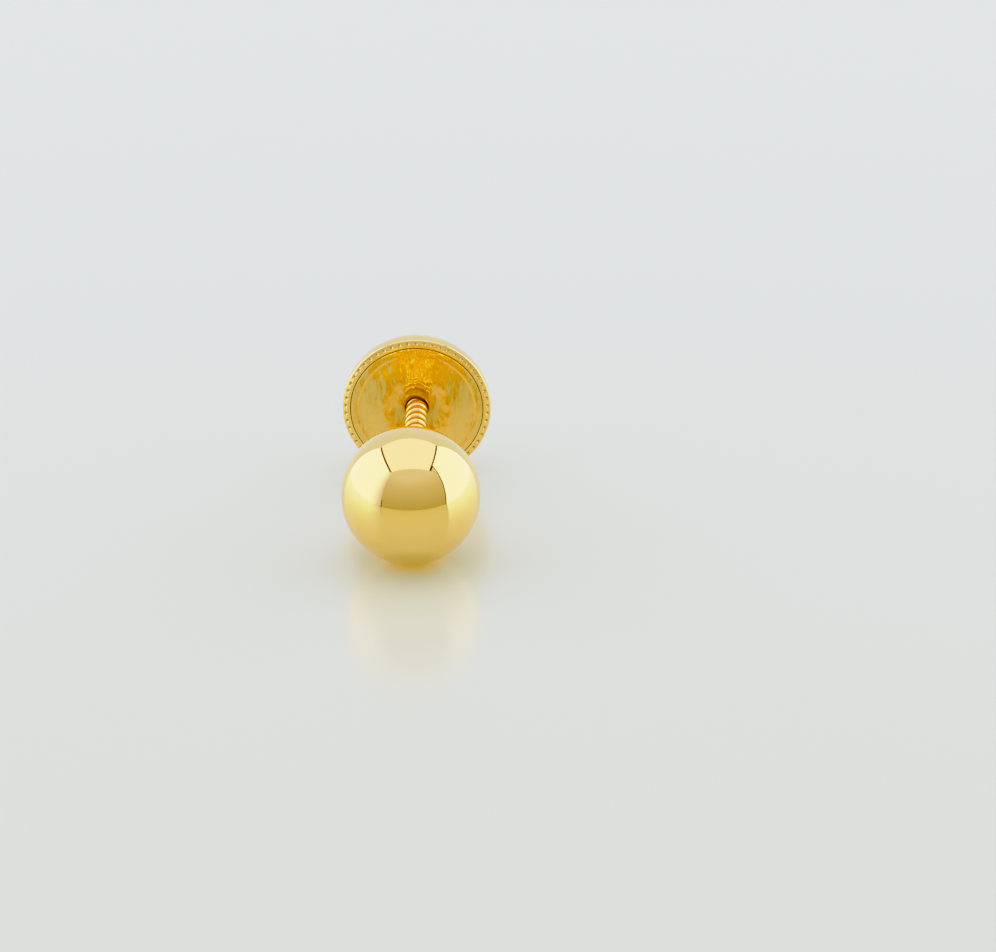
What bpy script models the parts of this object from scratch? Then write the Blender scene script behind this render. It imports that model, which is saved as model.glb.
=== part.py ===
"""Ball stud earring with a screw-on back, as it lies on a flat surface.

Metres, +Z up. +Y runs from the ball to the back. The origin is on the surface,
under the middle of the part's box. The stud rests on its ball and on the rim of
its back, so its axis rises a little towards the back.
"""

import math

import bmesh
import bpy

MM = 0.001

# Ball
BALL_DIAMETER = 5.0 * MM
BALL_SEGMENTS = 36
BALL_RINGS = 18

# Space for the ear lobe, from the ball to the front face of the back
LOBE_GAP = 4.9 * MM

# Post
THREAD_DIAMETER = 0.84 * MM
THREAD_PITCH = 0.5 * MM
THREAD_DEPTH = 0.09 * MM
NECK_LENGTH = 0.9 * MM
SOLDER_FILLET = 0.2 * MM
POST_ROOT_DEPTH = 0.5 * MM
TIP_CHAMFER = 0.12 * MM
POST_SEGMENTS = 20
ROWS_PER_TURN = 6

# How far the post reaches behind the front face of the back, and how much further
# it can be screwed in before it stops short of the cap by the end clearance
THREAD_ENTRY = 1.1 * MM
TIGHTEN_TRAVEL = 0.7 * MM
END_CLEARANCE = 0.08 * MM

# Screw back
BACK_DIAMETER = 5.65 * MM
SHEET = 0.22 * MM
RIM_WIDTH = 0.27 * MM
RIM_LENGTH = 0.4 * MM
RIM_ROUNDING = 0.07 * MM
NOTCHES = 54
NOTCH_DEPTH = 0.08 * MM
NOTCH_LENGTH = 0.14 * MM
SEAT_WIDTH = 0.2 * MM
SEAT_THICKNESS = 0.15 * MM
DOME_RINGS = 6

# Front plate of the back
LIP_WIDTH = 0.1 * MM
DISH_DEPTH = 0.08 * MM
DISH_SLOPE_WIDTH = 0.24 * MM
FUNNEL_WIDTH = 0.48 * MM
FUNNEL_DEPTH = 0.1 * MM
HUB_WALL = 0.3 * MM
PLATE_SEGMENTS = 48

# Clearances
GROOVE_GAP = 0.07 * MM
SEAT_GAP = 0.05 * MM
THREAD_CLEARANCE = 0.045 * MM

# Sizes that follow from the ones above
ball_radius = BALL_DIAMETER / 2
thread_radius = THREAD_DIAMETER / 2
shank_radius = thread_radius - THREAD_DEPTH / 2
front_face = ball_radius + LOBE_GAP
tip_at = front_face + THREAD_ENTRY
rim_radius = BACK_DIAMETER / 2
rim_bore = rim_radius - RIM_WIDTH
plate_radius = rim_bore - GROOVE_GAP
bore_radius = thread_radius + THREAD_CLEARANCE
hub_radius = bore_radius + HUB_WALL
seat_at = SHEET + SEAT_GAP
cap_depth = THREAD_ENTRY + TIGHTEN_TRAVEL + END_CLEARANCE + SHEET

POLISHED_GOLD = (0.83, 0.6, 0.2, 1.0)
GOLD_ROUGHNESS = 0.08


def clear_scene():
    for item in list(bpy.data.objects):
        bpy.data.objects.remove(item, do_unlink=True)


def gold(name):
    material = bpy.data.materials.new(name)
    material.use_nodes = True
    shader = material.node_tree.nodes["Principled BSDF"]
    shader.inputs["Base Color"].default_value = POLISHED_GOLD
    shader.inputs["Metallic"].default_value = 1.0
    shader.inputs["Roughness"].default_value = GOLD_ROUGHNESS
    return material


def add_empty(name, parent, along_axis):
    empty = bpy.data.objects.new(name, None)
    empty.empty_display_size = ball_radius
    empty.parent = parent
    empty.location = (0.0, 0.0, along_axis)
    bpy.context.collection.objects.link(empty)
    return empty


def add_object(name, bm, parent):
    bmesh.ops.recalc_face_normals(bm, faces=bm.faces)
    mesh = bpy.data.meshes.new(name)
    bm.to_mesh(mesh)
    bm.free()
    mesh.shade_smooth()
    mesh.set_sharp_from_angle(angle=math.radians(35))
    mesh.materials.append(gold(name + "_gold"))
    piece = bpy.data.objects.new(name, mesh)
    piece.parent = parent
    bpy.context.collection.objects.link(piece)
    return piece


def add_ring(bm, radius, along, count, turn=0.0):
    """A ring of vertices round the axis, or a single vertex on it for radius 0."""
    if radius == 0.0:
        return [bm.verts.new((0.0, 0.0, along))]
    ring = []
    for step in range(count):
        angle = 2 * math.pi * (step + turn) / count
        ring.append(bm.verts.new((radius * math.cos(angle), radius * math.sin(angle), along)))
    return ring


def skin(bm, first, second):
    """Faces between two rings: level with each other, one a point, or one twice as fine."""
    if len(first) > len(second):
        first, second = second, first
    fine = len(second)
    if len(first) == 1:
        for step in range(fine):
            bm.faces.new((first[0], second[step], second[(step + 1) % fine]))
    elif len(first) == fine:
        for step in range(fine):
            after = (step + 1) % fine
            bm.faces.new((first[step], first[after], second[after], second[step]))
    else:
        for step, corner in enumerate(first):
            next_corner = first[(step + 1) % len(first)]
            left, middle, right = (second[(2 * step + shift) % fine] for shift in range(3))
            bm.faces.new((corner, left, middle))
            bm.faces.new((corner, middle, next_corner))
            bm.faces.new((next_corner, middle, right))


def skin_all(bm, rings, closed=False):
    for first, second in zip(rings, rings[1:]):
        skin(bm, first, second)
    if closed:
        skin(bm, rings[-1], rings[0])


def arc(steps, start, end):
    """Angles evenly spread from start to end, both included, in degrees."""
    return [math.radians(start + (end - start) * step / steps) for step in range(steps + 1)]


def dome_profile(radius, depth, start, rings):
    """Radius and place along the axis on a quarter ellipse, from its edge to its crown."""
    points = []
    for angle in arc(rings, 0, 90)[:-1]:
        points.append((radius * math.cos(angle), start + (depth - start) * math.sin(angle)))
    points.append((0.0, depth))
    return points


def fillet_profile():
    """The solder between ball and post, a concave quarter round from the ball to the neck."""
    wide = shank_radius + SOLDER_FILLET
    base = math.sqrt(ball_radius ** 2 - wide ** 2)
    points = [(wide, ball_radius - POST_ROOT_DEPTH)]
    for angle in arc(3, 0, 90):
        points.append((wide - SOLDER_FILLET * math.sin(angle), base + SOLDER_FILLET * (1 - math.cos(angle))))
    return points


def thread_depth_at(along, thread_start):
    """The thread rises over its first turn and fades over the last half turn."""
    rise = (along - thread_start) / THREAD_PITCH
    fade = (tip_at - TIP_CHAMFER - along) / (THREAD_PITCH / 2)
    return THREAD_DEPTH / 2 * max(0.0, min(1.0, rise, fade))


def thread_row(bm, along, thread_start):
    row = []
    depth = thread_depth_at(along, thread_start)
    for step in range(POST_SEGMENTS):
        angle = 2 * math.pi * step / POST_SEGMENTS
        phase = 2 * math.pi * (along - thread_start) / THREAD_PITCH - angle
        radius = shank_radius + depth * math.cos(phase)
        row.append(bm.verts.new((radius * math.cos(angle), radius * math.sin(angle), along)))
    return row


def make_post(parent):
    bm = bmesh.new()
    rows = [add_ring(bm, radius, along, POST_SEGMENTS) for radius, along in fillet_profile()]
    thread_start = ball_radius + NECK_LENGTH
    thread_end = tip_at - TIP_CHAMFER
    turns = (thread_end - thread_start) / THREAD_PITCH
    row_count = math.ceil(turns * ROWS_PER_TURN)
    for step in range(row_count + 1):
        along = thread_start + (thread_end - thread_start) * step / row_count
        rows.append(thread_row(bm, along, thread_start))
    rows.append(add_ring(bm, shank_radius - TIP_CHAMFER, tip_at, POST_SEGMENTS))
    skin_all(bm, rows)
    bm.faces.new(rows[0])
    bm.faces.new(rows[-1])
    post = add_object("threaded_post", bm, parent)
    post.hide_render = True
    post.display_type = "WIRE"
    return post


def make_ball_post(parent):
    bm = bmesh.new()
    bmesh.ops.create_uvsphere(bm, u_segments=BALL_SEGMENTS, v_segments=BALL_RINGS, radius=ball_radius)
    ball = add_object("ball_post", bm, parent)
    # half a segment of turn lays one of the ball's flats on the surface, not a corner
    ball.rotation_euler = (0.0, 0.0, math.pi / BALL_SEGMENTS)
    soldered = ball.modifiers.new("soldered_post", "BOOLEAN")
    soldered.operation = "UNION"
    soldered.solver = "EXACT"
    soldered.object = make_post(parent)
    return ball


def plate_profile():
    """The front plate and its hub, from the bore's mouth outwards, round the edge and back."""
    lip_bore = plate_radius - LIP_WIDTH
    floor_radius = lip_bore - DISH_SLOPE_WIDTH
    funnel_radius = bore_radius + FUNNEL_WIDTH
    floor_back = DISH_DEPTH + SHEET
    return [
        (bore_radius, DISH_DEPTH + FUNNEL_DEPTH),
        (funnel_radius, DISH_DEPTH),
        (floor_radius, DISH_DEPTH),
        (lip_bore, 0.0),
        (plate_radius, 0.0),
        (plate_radius, SHEET),
        (lip_bore, SHEET),
        (floor_radius, floor_back),
        (hub_radius, floor_back),
        (hub_radius, THREAD_ENTRY),
        (bore_radius, THREAD_ENTRY),
    ]


def make_plate(parent):
    bm = bmesh.new()
    rings = [add_ring(bm, radius, along, PLATE_SEGMENTS, 0.5) for radius, along in plate_profile()]
    skin_all(bm, rings, closed=True)
    return add_object("back_plate", bm, parent)


def notched_ring(bm, radius, along):
    """The rim's front corner: a rounded corner that steps in at every other vertex for a notch."""
    ring = []
    for step in range(2 * NOTCHES):
        angle = 2 * math.pi * step / (2 * NOTCHES)
        cut = NOTCH_DEPTH * (step % 2)
        reach = radius - cut
        ring.append(bm.verts.new((reach * math.cos(angle), reach * math.sin(angle), along + cut)))
    return ring


def cap_outside():
    return dome_profile(rim_radius, cap_depth, RIM_LENGTH, DOME_RINGS)


def cap_inside():
    """The dome's inner face, from the seat that carries the plate to the crown."""
    seat_back = seat_at + SEAT_THICKNESS
    return dome_profile(rim_bore - SEAT_WIDTH, cap_depth - SHEET, seat_back, DOME_RINGS - 1)


def make_cap(parent):
    bm = bmesh.new()
    rings = [add_ring(bm, radius, along, NOTCHES) for radius, along in reversed(cap_outside())]
    rings.append(add_ring(bm, rim_radius, NOTCH_LENGTH, 2 * NOTCHES))
    rings.append(notched_ring(bm, rim_radius - RIM_ROUNDING, RIM_ROUNDING / 2))
    rings.append(add_ring(bm, rim_radius - NOTCH_LENGTH, 0.0, 2 * NOTCHES))
    rings.append(add_ring(bm, rim_bore, 0.0, NOTCHES))
    rings.append(add_ring(bm, rim_bore, seat_at, NOTCHES))
    rings.append(add_ring(bm, rim_bore - SEAT_WIDTH, seat_at, NOTCHES))
    rings += [add_ring(bm, radius, along, NOTCHES) for radius, along in cap_inside()]
    skin_all(bm, rings)
    return add_object("back_cap", bm, parent)


def resting_tilt():
    """The rise of the axis at which the ball and the lowest point of the back both touch down."""
    outline = [(rim_radius, NOTCH_LENGTH)] + cap_outside()
    tilts = []
    for radius, along in outline:
        reach = math.hypot(radius, front_face + along)
        tilts.append(math.atan2(radius, front_face + along) - math.asin(ball_radius / reach))
    return max(tilts)


def ball_centre(tilt):
    """The ball touches the surface, and the part's box is centred on the origin along Y."""
    back_reach = 0.0
    for radius, along in cap_outside():
        behind = (front_face + along) * math.cos(tilt) + radius * math.sin(tilt)
        back_reach = max(back_reach, behind)
    return (0.0, (ball_radius - back_reach) / 2, ball_radius)


def main():
    clear_scene()
    tilt = resting_tilt()
    stud_axis = add_empty("stud_axis", None, 0.0)
    stud_axis.location = ball_centre(tilt)
    stud_axis.rotation_euler = (tilt - math.pi / 2, 0.0, 0.0)
    back_axis = add_empty("back_axis", stud_axis, front_face)
    make_ball_post(stud_axis)
    make_plate(back_axis)
    make_cap(back_axis)


main()
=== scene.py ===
import math

import bpy
from mathutils import Matrix


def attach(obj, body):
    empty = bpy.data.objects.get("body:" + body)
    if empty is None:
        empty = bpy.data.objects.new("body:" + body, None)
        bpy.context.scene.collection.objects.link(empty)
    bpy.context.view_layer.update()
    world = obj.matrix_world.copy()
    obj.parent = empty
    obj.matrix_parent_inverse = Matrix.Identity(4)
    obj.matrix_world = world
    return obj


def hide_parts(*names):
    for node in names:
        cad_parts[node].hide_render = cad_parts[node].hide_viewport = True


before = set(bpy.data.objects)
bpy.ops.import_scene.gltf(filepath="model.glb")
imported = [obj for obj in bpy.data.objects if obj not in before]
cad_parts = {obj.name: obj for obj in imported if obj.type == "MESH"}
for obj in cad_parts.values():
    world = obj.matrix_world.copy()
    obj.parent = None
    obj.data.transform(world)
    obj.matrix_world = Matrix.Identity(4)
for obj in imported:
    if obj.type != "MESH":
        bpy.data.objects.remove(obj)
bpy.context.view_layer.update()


# The pieces are modelled upright in millimetres, with the post along Z and the ball's
# centre at the origin, and are then laid down on the floor, in metres.
lay = {
    "ballCentre": (0.0, -3.4934, 2.5),
    "tiltDegrees": 2.4488,  # the rim is wider than the ball, so the post rises towards the back
    "backFront": 7.4,  # from the ball's centre to the front of the screw back
}


# helpers for selecting and shaping

def selectOnly(piece):
    bpy.ops.object.select_all(action="DESELECT")
    piece.select_set(True)
    bpy.context.view_layer.objects.active = piece


def pickPoints(piece, test):
    # leaves the piece in edit mode, with only the points that pass the test selected
    selectOnly(piece)
    bpy.ops.object.mode_set(mode="EDIT")
    bpy.ops.mesh.select_mode(type="VERT")
    bpy.ops.mesh.select_all(action="DESELECT")
    bpy.ops.object.mode_set(mode="OBJECT")
    for point in piece.data.vertices:
        point.select = test(point)
    bpy.ops.object.mode_set(mode="EDIT")


def applyModifiers(piece):
    selectOnly(piece)
    for modifier in list(piece.modifiers):
        bpy.ops.object.modifier_apply(modifier=modifier.name)


def layDown(piece, along=0.0):
    # from upright millimetres to its place on the floor, with the object left at the origin
    turn = Matrix.Rotation(math.radians(lay["tiltDegrees"] - 90.0), 4, "X")
    centre = Matrix.Translation(lay["ballCentre"])
    piece.matrix_world = Matrix.Scale(0.001, 4) @ centre @ turn @ Matrix.Translation((0.0, 0.0, along))
    selectOnly(piece)
    bpy.ops.object.transform_apply(location=True, rotation=True, scale=True)


def arc(centre, radius, start, end, steps):
    # points of an arc in the outline's plane, with its angles in degrees
    points = []
    for step in range(steps + 1):
        angle = math.radians(start + (end - start) * step / steps)
        points.append((centre[0] + radius * math.cos(angle), centre[1] + radius * math.sin(angle)))
    return points


def ease(start, end, steps, power=1.0):
    # points of a soft S between two points of an outline
    points = []
    for step in range(steps + 1):
        share = step / steps
        rise = 0.5 - 0.5 * math.cos(math.pi * share ** power)
        points.append((start[0] + (end[0] - start[0]) * share, start[1] + (end[1] - start[1]) * rise))
    return points


def drawOutline(name, points, closed=False):
    # one point, extruded from place to place in the XZ plane
    bpy.ops.object.select_all(action="DESELECT")
    bpy.ops.mesh.primitive_plane_add(size=0.1)
    piece = bpy.context.object
    piece.name = name
    piece.data.name = name
    bpy.ops.object.mode_set(mode="EDIT")
    bpy.ops.mesh.select_mode(type="VERT")
    bpy.ops.mesh.select_all(action="SELECT")
    bpy.ops.mesh.merge(type="CENTER")
    bpy.ops.transform.translate(value=(points[0][0], 0.0, points[0][1]))
    for here, there in zip(points, points[1:]):
        move = (there[0] - here[0], 0.0, there[1] - here[1])
        bpy.ops.mesh.extrude_vertices_move(TRANSFORM_OT_translate={"value": move})
    if closed:
        bpy.ops.object.mode_set(mode="OBJECT")
        for point in piece.data.vertices:
            point.select = point.index in (0, len(points) - 1)
        bpy.ops.object.mode_set(mode="EDIT")
        bpy.ops.mesh.edge_face_add()
    bpy.ops.object.mode_set(mode="OBJECT")
    return piece


def closeUp(piece, threshold=0.0004):
    # doubles merged first, and only then the normals turned outwards
    selectOnly(piece)
    bpy.ops.object.mode_set(mode="EDIT")
    bpy.ops.mesh.select_all(action="SELECT")
    bpy.ops.mesh.remove_doubles(threshold=threshold)
    bpy.ops.mesh.normals_make_consistent(inside=False)
    bpy.ops.object.mode_set(mode="OBJECT")


def spinRound(piece, steps):
    selectOnly(piece)
    bpy.ops.object.mode_set(mode="EDIT")
    bpy.ops.mesh.select_all(action="SELECT")
    bpy.ops.mesh.spin(steps=steps, angle=math.tau, center=(0.0, 0.0, 0.0), axis=(0.0, 0.0, 1.0))
    bpy.ops.object.mode_set(mode="OBJECT")
    closeUp(piece)


def shadeSmooth(piece, degrees):
    selectOnly(piece)
    bpy.ops.object.shade_smooth_by_angle(angle=math.radians(degrees))


def markPaintedShade(piece, amountAt):
    # painted shade in grooves, gaps, notches and the hole, where shade falls: how much, kept on the points of the
    # upright piece
    layer = piece.data.attributes.new("paintedShade", "FLOAT", "POINT")
    for point in piece.data.vertices:
        layer.data[point.index].value = amountAt(math.hypot(point.co.x, point.co.y), point.co.z)


# helpers for materials

def toLinear(hexColour):
    channels = []
    for place in (1, 3, 5):
        value = int(hexColour[place:place + 2], 16) / 255.0
        channels.append(value / 12.92 if value <= 0.04045 else ((value + 0.055) / 1.055) ** 2.4)
    return (channels[0], channels[1], channels[2], 1.0)


def addNode(tree, kind, settings=None, links=None):
    # settings go to the node's own options or to its sockets, links come from other nodes
    node = tree.nodes.new(kind)
    for name, value in (settings or {}).items():
        if isinstance(name, str) and hasattr(node, name):
            setattr(node, name, value)
        else:
            node.inputs[name].default_value = value
    for name, source in (links or {}).items():
        tree.links.new(source, node.inputs[name])
    return node


def newMaterial(name):
    material = bpy.data.materials.new(name)
    material.use_nodes = True
    material.node_tree.nodes.clear()
    return material, material.node_tree


def studMillimetres(tree):
    # object coordinates turned to the post's own axis, in millimetres from the ball's centre
    place = addNode(tree, "ShaderNodeTexCoord")
    centre = [value * 0.001 for value in lay["ballCentre"]]
    turn = (math.radians(lay["tiltDegrees"] - 90.0), 0.0, 0.0)
    mapping = addNode(tree, "ShaderNodeMapping", {
        "vector_type": "TEXTURE", "Location": centre, "Rotation": turn, "Scale": (0.001, 0.001, 0.001),
    }, {"Vector": place.outputs["Object"]})
    return mapping.outputs["Vector"]


goldBase = "#FDD97A"

ballFinish = {
    "colour": goldBase,
    "roughness": (0.025, 0.06),
    "hazeSize": 1.6,  # mm, patches left by the polishing mop
    "rippleSize": 2.2,  # mm, slow swells of a thin pressed shell
    "rippleHeight": 0.0009,  # mm
}


def mirrorPolishedGold():
    # 18 carat yellow gold, buffed to a mirror: clean reflections that swim a little
    material, tree = newMaterial("mirror_polished_gold")
    mm = studMillimetres(tree)
    haze = addNode(tree, "ShaderNodeTexNoise", {
        "Scale": 1.0 / ballFinish["hazeSize"], "Detail": 3.0, "Roughness": 0.6,
    }, {"Vector": mm})
    low, high = ballFinish["roughness"]
    rough = addNode(tree, "ShaderNodeMapRange", {
        "From Min": 0.3, "From Max": 0.7, "To Min": low, "To Max": high,
    }, {"Value": haze.outputs["Fac"]})
    ripple = addNode(tree, "ShaderNodeTexNoise", {
        "Scale": 1.0 / ballFinish["rippleSize"], "Detail": 1.0, "Roughness": 0.4,
    }, {"Vector": mm})
    bump = addNode(tree, "ShaderNodeBump", {
        "Strength": 1.0, "Distance": ballFinish["rippleHeight"] * 0.001,
    }, {"Height": ripple.outputs["Fac"]})
    shader = addNode(tree, "ShaderNodeBsdfPrincipled", {
        "Base Color": toLinear(ballFinish["colour"]), "Metallic": 1.0,
    }, {"Roughness": rough.outputs["Result"], "Normal": bump.outputs["Normal"]})
    addNode(tree, "ShaderNodeOutputMaterial", links={"Surface": shader.outputs["BSDF"]})
    return material


# painted shade for cuts, gaps and hollows: darker, rougher and less metallic
paintedShadeFinish = {
    "colour": "#AE853C",  # the painted shade's dark brown, over gold that shows through
    "roughness": 0.45,
    "metal": 0.75,
}


def turnedGold(name, settings):
    # gold with the fine rings that a lathe or a rolling die leaves round the post's axis, and with
    # painted shade, a dull dark brown, in its cuts and gaps, which draws their lines for the eye
    material, tree = newMaterial(name)
    mm = studMillimetres(tree)
    flat = addNode(tree, "ShaderNodeVectorMath", {"operation": "MULTIPLY", 1: (1.0, 1.0, 0.0)}, {0: mm})
    radius = addNode(tree, "ShaderNodeVectorMath", {"operation": "LENGTH"}, {0: flat.outputs["Vector"]})
    split = addNode(tree, "ShaderNodeSeparateXYZ", links={"Vector": mm})
    ringPlace = addNode(tree, "ShaderNodeCombineXYZ", links={"X": radius.outputs["Value"], "Y": split.outputs["Z"]})
    rings = addNode(tree, "ShaderNodeTexNoise", {
        "noise_dimensions": "2D", "Scale": 1.0 / settings["ringSize"], "Detail": 2.0, "Roughness": 0.7,
    }, {"Vector": ringPlace.outputs["Vector"]})
    stretch = addNode(tree, "ShaderNodeVectorMath", {"operation": "MULTIPLY", 1: settings["waveStretch"]}, {0: mm})
    wave = addNode(tree, "ShaderNodeTexNoise", {
        "Scale": 1.0 / settings["waveSize"], "Detail": settings["waveDetail"], "Roughness": 0.5,
    }, {"Vector": stretch.outputs["Vector"]})
    ringBump = addNode(tree, "ShaderNodeBump", {
        "Strength": 1.0, "Distance": settings["ringDepth"] * 0.001,
    }, {"Height": rings.outputs["Fac"]})
    waveBump = addNode(tree, "ShaderNodeBump", {
        "Strength": 1.0, "Distance": settings["waveHeight"] * 0.001,
    }, {"Height": wave.outputs["Fac"], "Normal": ringBump.outputs["Normal"]})
    low, high = settings["roughness"]
    rough = addNode(tree, "ShaderNodeMapRange", {
        "From Min": 0.3, "From Max": 0.7, "To Min": low, "To Max": high,
    }, {"Value": wave.outputs["Fac"]})
    # painted shade: the colour turns dark brown, rougher and less metallic where the points say so
    paintedShade = addNode(tree, "ShaderNodeAttribute", {"attribute_name": "paintedShade"})
    colour = addNode(tree, "ShaderNodeMix", {
        "data_type": "RGBA", 6: toLinear(settings["colour"]), 7: toLinear(paintedShadeFinish["colour"]),
    }, {0: paintedShade.outputs["Fac"]})
    dull = addNode(tree, "ShaderNodeMix", {"data_type": "FLOAT", 3: paintedShadeFinish["roughness"]}, {
        0: paintedShade.outputs["Fac"], 2: rough.outputs["Result"]})
    metal = addNode(tree, "ShaderNodeMapRange", {"To Min": 1.0, "To Max": paintedShadeFinish["metal"]}, {
        "Value": paintedShade.outputs["Fac"]})
    shader = addNode(tree, "ShaderNodeBsdfPrincipled", None, {
        "Base Color": colour.outputs[2], "Metallic": metal.outputs["Result"],
        "Roughness": dull.outputs[0], "Normal": waveBump.outputs["Normal"]})
    addNode(tree, "ShaderNodeOutputMaterial", links={"Surface": shader.outputs["BSDF"]})
    return material


# the ball

ballShape = {
    "radius": 2.5,
    "cuts": 55,
}


def modelBall():
    size = 2.0 * ballShape["radius"]
    bpy.ops.object.select_all(action="DESELECT")
    bpy.ops.mesh.primitive_cube_add(size=size)
    piece = bpy.context.object
    piece.name = "ball"
    piece.data.name = "ball"
    bpy.ops.object.mode_set(mode="EDIT")
    bpy.ops.mesh.select_all(action="SELECT")
    bpy.ops.mesh.subdivide(number_cuts=ballShape["cuts"])
    bpy.ops.object.mode_set(mode="OBJECT")
    cast = piece.modifiers.new("round", "CAST")
    cast.cast_type = "SPHERE"
    cast.factor = 1.0
    cast.use_radius_as_size = False
    cast.size = ballShape["radius"]
    applyModifiers(piece)
    selectOnly(piece)
    bpy.ops.object.shade_smooth()
    layDown(piece)
    return piece


# the post: a solder fillet, a plain neck and a rolled thread

postShape = {
    "shank": 0.375,
    "crest": 0.42,
    "root": 0.33,
    "pitch": 0.5,
    "filletStart": (0.575, 2.433),
    "fillet": 0.2,
    "hiddenStart": 2.2,  # inside the ball
    "threadStart": 3.4,
    "tip": 8.5,
    "tipRadius": 0.255,
    "stepsPerTurn": 48,
}


def modelPost():
    s = postShape
    grooveHalf = s["pitch"] / 2.0

    # one turn of the thread: a broad rounded crest between two narrow grooves
    crestSide = [
        (s["root"], grooveHalf), (s["root"] + 0.003, 0.225), (s["root"] + 0.016, 0.203), (s["root"] + 0.046, 0.17),
        (s["crest"] - 0.017, 0.137), (s["crest"] - 0.006, 0.107), (s["crest"] - 0.001, 0.06), (s["crest"], 0.0),
    ]
    profile = [(r, s["threadStart"] - s["pitch"] - z) for r, z in crestSide]
    profile += [(r, s["threadStart"] - s["pitch"] + z) for r, z in reversed(crestSide[:-1])]
    thread = drawOutline("thread", profile)
    screw = thread.modifiers.new("thread", "SCREW")
    screw.axis = "Z"
    screw.angle = math.tau
    screw.screw_offset = s["pitch"]
    screw.steps = s["stepsPerTurn"]
    screw.render_steps = s["stepsPerTurn"]
    screw.iterations = 13
    applyModifiers(thread)
    closeUp(thread)
    pickPoints(thread, lambda point: True)
    bpy.ops.mesh.bisect(plane_co=(0.0, 0.0, 3.25), plane_no=(0.0, 0.0, -1.0), use_fill=True, clear_outer=True)
    bpy.ops.mesh.select_all(action="SELECT")
    bpy.ops.mesh.bisect(plane_co=(0.0, 0.0, s["tip"]), plane_no=(0.0, 0.0, 1.0), use_fill=True, clear_outer=True)
    bpy.ops.object.mode_set(mode="OBJECT")
    closeUp(thread)

    # a spindle trims the thread: it grows out of the neck, and runs out into the tip's bevel
    spindle = drawOutline("spindle", [
        (0.0, 3.3), (s["root"] - 0.004, 3.3), (s["shank"] + 0.01, 3.62), (s["crest"] + 0.02, 3.95),
        (s["crest"] + 0.02, 7.95), (s["shank"], 8.36), (s["tipRadius"] + 0.05, 8.47), (s["tipRadius"], s["tip"] - 0.001),
        (0.0, s["tip"] - 0.001),
    ])
    spinRound(spindle, s["stepsPerTurn"])
    trim = thread.modifiers.new("trim", "BOOLEAN")
    trim.operation = "INTERSECT"
    trim.solver = "EXACT"
    trim.object = spindle
    applyModifiers(thread)

    # the neck, from inside the ball to just under the first turn
    outline = [(0.0, s["hiddenStart"]), (s["filletStart"][0] - 0.02, s["hiddenStart"])]
    outline += arc((s["filletStart"][0], s["filletStart"][1] + s["fillet"]), s["fillet"], 270.0, 180.0, 8)
    outline += [
        (s["shank"], s["threadStart"] + 0.02), (s["root"] + 0.02, s["threadStart"] + 0.07),
        (s["root"] - 0.06, s["threadStart"] + 0.11), (0.0, s["threadStart"] + 0.11),
    ]
    piece = drawOutline("post", outline)
    spinRound(piece, s["stepsPerTurn"])
    weld = piece.modifiers.new("weld", "BOOLEAN")
    weld.operation = "UNION"
    weld.solver = "EXACT"
    weld.object = thread
    applyModifiers(piece)
    closeUp(piece)
    for helper in (thread, spindle):
        bpy.data.objects.remove(helper)
    shadeSmooth(piece, 42.0)

    # painted shade in the thread's roots, deepest at the root
    def inTheThread(radius, height):
        within = s["threadStart"] + 0.15 < height < s["tip"] - 0.1
        return min(1.0, max(0.0, (s["root"] + 0.028 - radius) / 0.022)) if within else 0.0

    markPaintedShade(piece, inTheThread)
    layDown(piece)
    return piece


# the front plate of the screw back: a flat lip, a shallow dish, a funnel to the hole and a hub

plateShape = {
    "radius": 2.53,
    "corner": 0.02,
    "dish": 2.2,
    "dishDepth": 0.042,
    "ridge": 0.004,  # a faint raised ring where the dish starts
    "swell": 0.006,  # how fast the dish rises again towards the funnel, for each square mm
    "funnel": 1.4,
    "funnelBend": 1.7,
    "bore": 0.45,
    "boreFront": 0.18,
    "sheet": 0.22,
    "hub": 0.765,
    "hubEnd": 1.1,
    "steps": 192,
}


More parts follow.
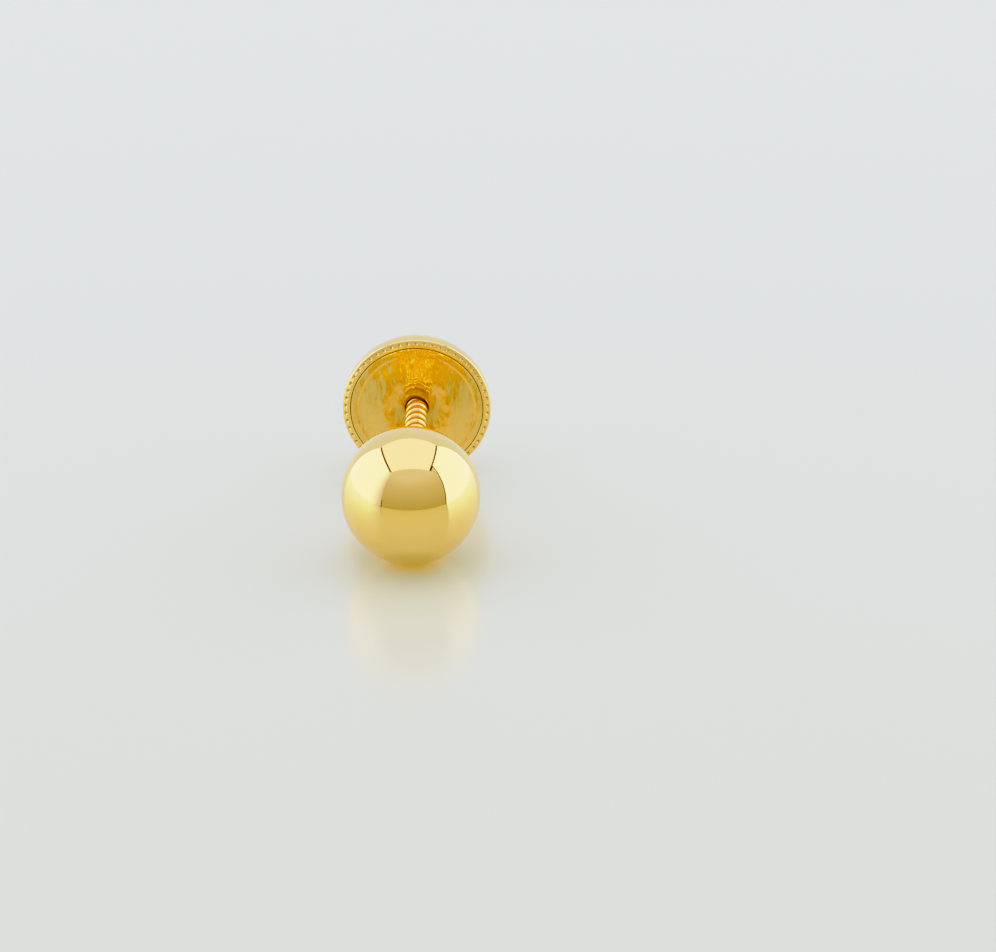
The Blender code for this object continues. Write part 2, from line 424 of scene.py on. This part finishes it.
def modelPlate():
    s = plateShape
    mouth = s["bore"] + 0.02

    def dishAt(radius):
        depth = s["dishDepth"] - s["swell"] * (s["dish"] ** 2 - radius ** 2)
        if radius < s["funnel"]:
            drop = s["boreFront"] - 0.02 - s["dishDepth"] + s["swell"] * (s["dish"] ** 2 - mouth ** 2)
            depth += drop * ((s["funnel"] - radius) / (s["funnel"] - mouth)) ** s["funnelBend"]
        return depth

    outline = []
    for step in range(19):
        radius = s["funnel"] + (mouth - s["funnel"]) * step / 18.0
        outline.append((radius, dishAt(radius)))
    outline += arc((mouth, s["boreFront"]), 0.02, 270.0, 180.0, 4)[1:]
    outline += [(s["bore"], 0.22), (s["bore"], 0.5), (s["bore"], s["hubEnd"] - 0.03), (s["bore"] + 0.03, s["hubEnd"])]
    outline += [(s["hub"] - 0.03, s["hubEnd"]), (s["hub"], s["hubEnd"] - 0.03), (s["hub"], 0.36)]
    outline += arc((s["hub"] + 0.06, 0.36), 0.06, 180.0, 270.0, 4)[1:]
    outline += [(1.4, 0.30), (2.145, 0.30), (2.385, s["sheet"])]
    outline += arc((s["radius"] - s["corner"], s["sheet"] - s["corner"]), s["corner"], 90.0, 0.0, 4)
    outline += arc((s["radius"] - s["corner"], s["corner"]), s["corner"], 0.0, -90.0, 5)
    outline += [(2.45, 0.001), (2.4, 0.002), (2.35, 0.004), (2.3, 0.0075), (2.27, 0.0125), (2.24, 0.021), (2.22, 0.029)]
    outline += ease((s["dish"], s["dishDepth"] - s["ridge"]), (s["dish"] - 0.15, dishAt(s["dish"] - 0.15)), 6)
    outline += [(radius, dishAt(radius)) for radius in (1.98, 1.91, 1.84, 1.77, 1.7, 1.63, 1.57, 1.51)]
    piece = drawOutline("plate", outline, closed=True)
    spinRound(piece, s["steps"])
    shadeSmooth(piece, 38.0)

    # painted shade in the groove round the rim and in the hole, and a lighter painted shade over the funnel that fades
    # out away from the post
    def inTheGaps(radius, height):
        groove = radius > s["radius"] - 0.005 and height > 0.018
        hole = radius < s["bore"] + 0.004 and height > s["boreFront"]
        if groove or hole:
            return 0.8
        nearPost = max(0.0, (1.15 - radius) / (1.15 - s["bore"])) if height < s["boreFront"] + 0.02 else 0.0
        return 0.35 * nearPost

    markPaintedShade(piece, inTheGaps)
    layDown(piece, lay["backFront"])
    return piece


# the domed cap of the screw back, with the milled rim that is rolled round the plate

capShape = {
    "radius": 2.845,
    # the rim's front corner, from its side over a slope of about 30 degrees to its flat face
    "slope": [(0.0, 0.13), (0.002, 0.116), (0.008, 0.103), (0.019, 0.092), (0.034, 0.082), (0.052, 0.072),
              (0.07, 0.0625), (0.088, 0.053), (0.105, 0.0435), (0.12, 0.0345), (0.133, 0.0263), (0.147, 0.0178),
              (0.16, 0.0105), (0.172, 0.005), (0.185, 0.0013), (0.2, 0.0)],
    "mouth": 2.55,
    "mouthRounding": 0.03,
    "seatDepth": 0.27,
    "seatInner": 2.355,
    "seatRise": 0.42,
    "rimLength": 0.45,
    "crown": 2.1,
    "innerCrown": 1.88,
    "notches": 54,
    "notchPlace": (2.712, 0.0263),  # low on the slope
    "notchDepth": 0.05,
    "notchReach": 0.08,
    "columns": 12,  # in each notch's share of the rim
}


def modelCap():
    s = capShape
    outline = []
    for step in range(21):
        angle = math.radians(90.0 - 90.0 * step / 20.0)
        rise = (s["crown"] - s["rimLength"]) * math.sin(angle)
        outline.append((s["radius"] * math.cos(angle), s["rimLength"] + rise))
    outline += [(s["radius"], 0.35), (s["radius"], 0.24)]
    outline += [(s["radius"] - inwards, height) for inwards, height in s["slope"]]
    outline += [(2.625, 0.0), (2.605, 0.0)]
    outline += arc((s["mouth"] + s["mouthRounding"], s["mouthRounding"]), s["mouthRounding"], 270.0, 180.0, 6)
    outline += [(s["mouth"], 0.1), (s["mouth"], s["seatDepth"])]
    outline += [(s["seatInner"], s["seatDepth"]), (s["seatInner"], s["seatRise"])]
    for step in range(1, 17):
        angle = math.radians(90.0 * step / 16.0)
        rise = (s["innerCrown"] - s["seatRise"]) * math.sin(angle)
        outline.append((s["seatInner"] * math.cos(angle), s["seatRise"] + rise))
    piece = drawOutline("cap", outline)

    # one notch's share of the rim, then its notch pressed into the face
    share = math.tau / s["notches"]
    bpy.ops.object.mode_set(mode="EDIT")
    bpy.ops.mesh.select_all(action="SELECT")
    bpy.ops.mesh.spin(steps=s["columns"], angle=share, center=(0.0, 0.0, 0.0), axis=(0.0, 0.0, 1.0))
    bpy.ops.object.mode_set(mode="OBJECT")
    closeUp(piece)
    # painted shade on the inner wall of the rim's mouth, in the gap round the plate
    markPaintedShade(piece, lambda radius, height: 1.0 if abs(radius - s["mouth"]) < 0.002 and height > 0.02 else 0.0)
    across = {0: 1.0, 1: 0.85, 2: 0.3}
    for column in range(s["columns"] + 1):
        press = across.get(abs(column - s["columns"] // 2))
        if press is None:
            continue
        angle = share * column / s["columns"]
        for radius, height in outline:
            away = math.dist((radius, height), s["notchPlace"]) / s["notchReach"]
            if away >= 1.0:
                continue

            def onThisPoint(point, angle=angle, radius=radius, height=height):
                near = abs(math.hypot(point.co.x, point.co.y) - radius) < 0.002 and abs(point.co.z - height) < 0.002
                return near and abs(abs(math.atan2(point.co.y, point.co.x)) - angle) < share / s["columns"] / 3.0

            depth = press * math.cos(0.5 * math.pi * away)
            pickPoints(piece, onThisPoint)
            bpy.ops.transform.translate(value=(0.0, 0.0, s["notchDepth"] * depth))
            bpy.ops.object.mode_set(mode="OBJECT")
            # painted shade in each notch, deepest at its middle
            layer = piece.data.attributes["paintedShade"]
            for point in piece.data.vertices:
                if point.select:
                    layer.data[point.index].value = 0.9 * depth

    bpy.ops.object.empty_add(rotation=(0.0, 0.0, share))
    turner = bpy.context.object
    array = piece.modifiers.new("round the rim", "ARRAY")
    array.count = s["notches"]
    array.use_relative_offset = False
    array.use_object_offset = True
    array.offset_object = turner
    bpy.context.view_layer.update()
    applyModifiers(piece)
    bpy.data.objects.remove(turner)
    closeUp(piece)
    shadeSmooth(piece, 50.0)
    layDown(piece, lay["backFront"])
    return piece


plateFinish = {
    "colour": "#F5CF74",
    "roughness": (0.05, 0.09),
    "ringSize": 0.09,  # mm
    "ringDepth": 0.0004,
    "waveSize": 0.9,  # mm, the press leaves the thin sheet a little wavy
    "waveStretch": (2.0, 1.0, 1.0),
    "waveHeight": 0.05,
    "waveDetail": 2.0,
}
capFinish = {
    "colour": goldBase,
    "roughness": (0.07, 0.13),
    "ringSize": 0.08,
    "ringDepth": 0.0006,
    "waveSize": 0.9,
    "waveStretch": (1.0, 1.0, 1.0),
    "waveHeight": 0.006,
    "waveDetail": 1.0,
}
threadFinish = {
    "colour": "#F9CE6E",
    "roughness": (0.12, 0.2),
    "ringSize": 0.05,
    "ringDepth": 0.0006,
    "waveSize": 0.5,
    "waveStretch": (1.0, 1.0, 1.0),
    "waveHeight": 0.002,
    "waveDetail": 1.0,
}

ball = modelBall()
print("ball modelled", len(ball.data.polygons))
post = modelPost()
print("post modelled", len(post.data.polygons))
plate = modelPlate()
print("plate modelled", len(plate.data.polygons))
cap = modelCap()
print("cap modelled", len(cap.data.polygons))

ball.data.materials.append(mirrorPolishedGold())
post.data.materials.append(turnedGold("rolled_thread_gold", threadFinish))
plate.data.materials.append(turnedGold("pressed_plate_gold", plateFinish))
cap.data.materials.append(turnedGold("rolled_rim_gold", capFinish))

for piece in (ball, post):
    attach(piece, "stud")
    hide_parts("ball_post")
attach(plate, "screw_back")
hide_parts("back_plate")
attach(cap, "screw_back")
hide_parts("back_cap")
print("pieces ride on their bodies")


# the studio: a glossy pale floor inside a light tent that is open at the front, in metres

tent = {
    "floor": 0.7,
    "height": 0.228,
    "back": 0.2,
    "seam": 0.006,  # half the width of the dark tape where two panels meet
    "ceilingGlow": 2.6,
    "sideGlow": 3.5,
    "sideLowGlow": 2.9,
    "sideFade": 0.012,  # height over which the panels' feet are dimmer
    "backGlow": 1.58,
    "openGlow": 1.34,
    "panelColour": "#D3D4FF",
    "ceilingColour": "#DCCEFF",
    "backColour": "#D0DCFF",
    "roomColours": [(0.0, "#BAB396"), (0.17, "#C1BAA5"), (0.57, "#D2CFCB"), (0.8, "#E0E6FF")],
    "floorColour": "#ACB7A0",
    "floorGlow": 0.45,  # light that comes up through the sheet
    "floorGlowFar": "#D5C88A",
    "paintedGoldPool": "#FFC93F",  # painted light: a warm pool of gold bounce light, painted into the glow round where the stud lies
    "paintedPoolFrom": (-0.00349, 0.0036),  # along the stud, from the ball's foot to the rim's
    "paintedPoolReach": (0.0006, 0.0018),
    "floorRoughness": 0.2,
}


def tentMaterial(name, colour, glow, lowGlow=None, frontGlow=None):
    # white diffuser cloth lit from outside, which fades towards its foot and its open end
    material, tree = newMaterial(name)
    place = addNode(tree, "ShaderNodeTexCoord")
    split = addNode(tree, "ShaderNodeSeparateXYZ", links={"Vector": place.outputs["Object"]})
    strength = None
    if lowGlow is not None:
        rise = addNode(tree, "ShaderNodeMapRange", {
            "interpolation_type": "SMOOTHSTEP", "From Max": tent["sideFade"], "To Min": lowGlow / glow, "To Max": 1.0,
        }, {"Value": split.outputs["Z"]})
        run = addNode(tree, "ShaderNodeMapRange", {
            "interpolation_type": "SMOOTHSTEP", "From Min": -0.14, "From Max": -0.05, "To Min": frontGlow, "To Max": 1.0,
        }, {"Value": split.outputs["Y"]})
        both = addNode(tree, "ShaderNodeMath", {"operation": "MULTIPLY"}, {
            0: rise.outputs["Result"], 1: run.outputs["Result"]})
        strength = addNode(tree, "ShaderNodeMath", {"operation": "MULTIPLY", 1: glow}, {
            0: both.outputs["Value"]}).outputs["Value"]
    shader = addNode(tree, "ShaderNodeEmission", {"Color": toLinear(colour), "Strength": glow})
    if strength is not None:
        tree.links.new(strength, shader.inputs["Strength"])
    addNode(tree, "ShaderNodeOutputMaterial", links={"Surface": shader.outputs["Emission"]})
    return material


def tentPanel(name, corners, material):
    bpy.ops.object.select_all(action="DESELECT")
    bpy.ops.mesh.primitive_plane_add(size=1.0)
    panel = bpy.context.object
    panel.name = name
    for point, corner in zip(panel.data.vertices, corners):
        point.co = corner
    panel.data.materials.append(material)
    return panel


def buildStudio():
    half = tent["floor"]
    top = tent["height"]
    tape = tent["seam"]
    material, tree = newMaterial("glossy_pale_acrylic")
    place = addNode(tree, "ShaderNodeTexCoord")
    split = addNode(tree, "ShaderNodeSeparateXYZ", links={"Vector": place.outputs["Object"]})
    # a painted pool of warm gold bounce light: the floor's glow turns golden near the line under the stud and fades out
    # between 0.6 and 1.8 mm from it
    along = addNode(tree, "ShaderNodeClamp", {"Min": tent["paintedPoolFrom"][0], "Max": tent["paintedPoolFrom"][1]}, {
        "Value": split.outputs["Y"]})
    foot = addNode(tree, "ShaderNodeCombineXYZ", links={"Y": along.outputs["Result"]})
    away = addNode(tree, "ShaderNodeVectorMath", {"operation": "DISTANCE"}, {
        0: place.outputs["Object"], 1: foot.outputs["Vector"]})
    paintedPoolFade = addNode(tree, "ShaderNodeMapRange", {
        "interpolation_type": "SMOOTHSTEP", "From Min": tent["paintedPoolReach"][0], "From Max": tent["paintedPoolReach"][1],
    }, {"Value": away.outputs["Value"]})
    glow = addNode(tree, "ShaderNodeMix", {
        "data_type": "RGBA", 6: toLinear(tent["paintedGoldPool"]), 7: toLinear(tent["floorGlowFar"]),
    }, {0: paintedPoolFade.outputs["Result"]})
    shader = addNode(tree, "ShaderNodeBsdfPrincipled", {
        "Base Color": toLinear(tent["floorColour"]), "Roughness": tent["floorRoughness"],
        "IOR": 1.7, "Emission Strength": tent["floorGlow"],
    }, {"Emission Color": glow.outputs[2]})
    addNode(tree, "ShaderNodeOutputMaterial", links={"Surface": shader.outputs["BSDF"]})
    tentPanel("floor", [(-half, -half, 0.0), (half, -half, 0.0), (-half, half, 0.0), (half, half, 0.0)], material)

    back = tent["back"]
    left = tentMaterial("tent_left", tent["panelColour"], tent["sideGlow"], tent["sideLowGlow"], 0.4)
    right = tentMaterial("tent_right", tent["panelColour"], tent["sideGlow"], tent["sideLowGlow"], 1.0)
    roof = tentMaterial("tent_ceiling", tent["ceilingColour"], tent["ceilingGlow"])
    wall = tentMaterial("tent_backdrop", tent["backColour"], tent["backGlow"])
    tapeMaterial, tree = newMaterial("seam_tape")
    shader = addNode(tree, "ShaderNodeBsdfPrincipled", {"Base Color": toLinear("#4A4032"), "Roughness": 0.9})
    addNode(tree, "ShaderNodeOutputMaterial", links={"Surface": shader.outputs["BSDF"]})

    tentPanel("backdrop", [(-0.2, back, 0.0), (0.16, back, 0.0), (-0.2, back, top), (0.16, back, top)], wall)
    leftFront = (-0.135, -0.1)
    leftBack = (-0.181, back)
    rightFront = (0.139, -0.085)
    rightBack = (0.145, back)
    tentPanel("ceiling", [
        (leftFront[0] + tape, leftFront[1], top), (rightFront[0] - tape, rightFront[1], top),
        (leftBack[0] + tape, leftBack[1], top), (rightBack[0] - tape, rightBack[1], top)], roof)
    tentPanel("side_left", [
        (-0.15, -0.141, 0.0), (leftBack[0] - tape, back, 0.0),
        (leftFront[0] - tape, -0.12, top), (leftBack[0] - tape, back, top)], left)
    tentPanel("side_right", [
        (0.15, -0.088, 0.0), (0.155, back, 0.0), (rightFront[0] + tape, -0.03, top), (rightBack[0] + tape, back, top)], right)
    tentPanel("tape_edge", [
        (0.15, -0.092, 0.0), (0.15, -0.086, 0.0),
        (rightFront[0] + tape, -0.036, top), (rightFront[0] + tape, -0.03, top)], tapeMaterial)
    tentPanel("tape_foot", [
        (-0.149, -0.147, 0.0), (-0.149, -0.139, 0.0), (-0.147, -0.144, 0.04), (-0.147, -0.139, 0.04)], tapeMaterial)
    above = top + 0.002
    for name, front, rear in (("tape_left", leftFront, leftBack), ("tape_right", rightFront, rightBack)):
        tentPanel(name, [
            (front[0] - 2.0 * tape, front[1], above), (front[0] + 2.0 * tape, front[1], above),
            (rear[0] - 2.0 * tape, rear[1], above), (rear[0] + 2.0 * tape, rear[1], above)], tapeMaterial)

    # the room in front of the tent: warm and dim low down, brighter and cooler above
    world = bpy.data.worlds.new("room")
    world.use_nodes = True
    tree = world.node_tree
    tree.nodes.clear()
    place = addNode(tree, "ShaderNodeTexCoord")
    split = addNode(tree, "ShaderNodeSeparateXYZ", links={"Vector": place.outputs["Generated"]})
    ramp = addNode(tree, "ShaderNodeValToRGB", links={"Fac": split.outputs["Z"]})
    for place, colour in tent["roomColours"][1:-1]:
        ramp.color_ramp.elements.new(place)
    for stop, (place, colour) in zip(ramp.color_ramp.elements, tent["roomColours"]):
        stop.position = place
        stop.color = toLinear(colour)
    background = addNode(tree, "ShaderNodeBackground", {"Strength": tent["openGlow"]}, {"Color": ramp.outputs["Color"]})
    addNode(tree, "ShaderNodeOutputWorld", links={"Surface": background.outputs["Background"]})
    bpy.context.scene.world = world


buildStudio()


# the camera, on the line that the photo was taken from

view = {
    "eye": (0.003122, -0.087453, 0.039983),
    "pitchDegrees": 23.62,
    "lens": 92.81,
    "sensor": 36.0,
    # a film curve, in linear light: a small toe, and a long shoulder that turns highlights on gold cream
    "film": [(0.0, 0.0), (0.03, 0.006), (0.08, 0.045), (0.2, 0.148), (0.69, 0.515), (1.0, 0.735),
             (1.25, 0.82), (1.6, 0.88), (2.16, 0.94), (3.0, 0.985), (4.0, 1.0)],
    # and a longer toe for blue alone, which keeps gold that mirrors gold deep and clean
    "blueToe": [(0.03, 0.002), (0.055, 0.028), (0.1, 0.095), (0.2, 0.2)],
}


def placeCamera():
    bpy.ops.object.camera_add(location=view["eye"], rotation=(math.radians(90.0 - view["pitchDegrees"]), 0.0, 0.0))
    camera = bpy.context.object
    camera.data.lens = view["lens"]
    camera.data.sensor_fit = "HORIZONTAL"
    camera.data.sensor_width = view["sensor"]
    camera.data.clip_start = 0.002
    camera.data.clip_end = 5.0
    bpy.context.scene.camera = camera


def setFilm():
    settings = bpy.context.scene.view_settings
    settings.view_transform = "Standard"
    settings.use_curve_mapping = True
    mapping = settings.curve_mapping
    mapping.clip_max_x = view["film"][-1][0]
    curve = mapping.curves[3]
    curve.points[0].location = view["film"][0]
    curve.points[1].location = view["film"][-1]
    for x, y in view["film"][1:-1]:
        curve.points.new(x, y)
    for x, y in view["blueToe"]:
        mapping.curves[2].points.new(x, y)
    mapping.update()


def allowBounces():
    # gold mirrors gold between the ball and the back, and throws its warm light on the floor
    light = bpy.context.scene.cycles
    light.max_bounces = 16
    light.glossy_bounces = 12
    light.diffuse_bounces = 8


placeCamera()
setFilm()
allowBounces()

print("studio and camera placed")
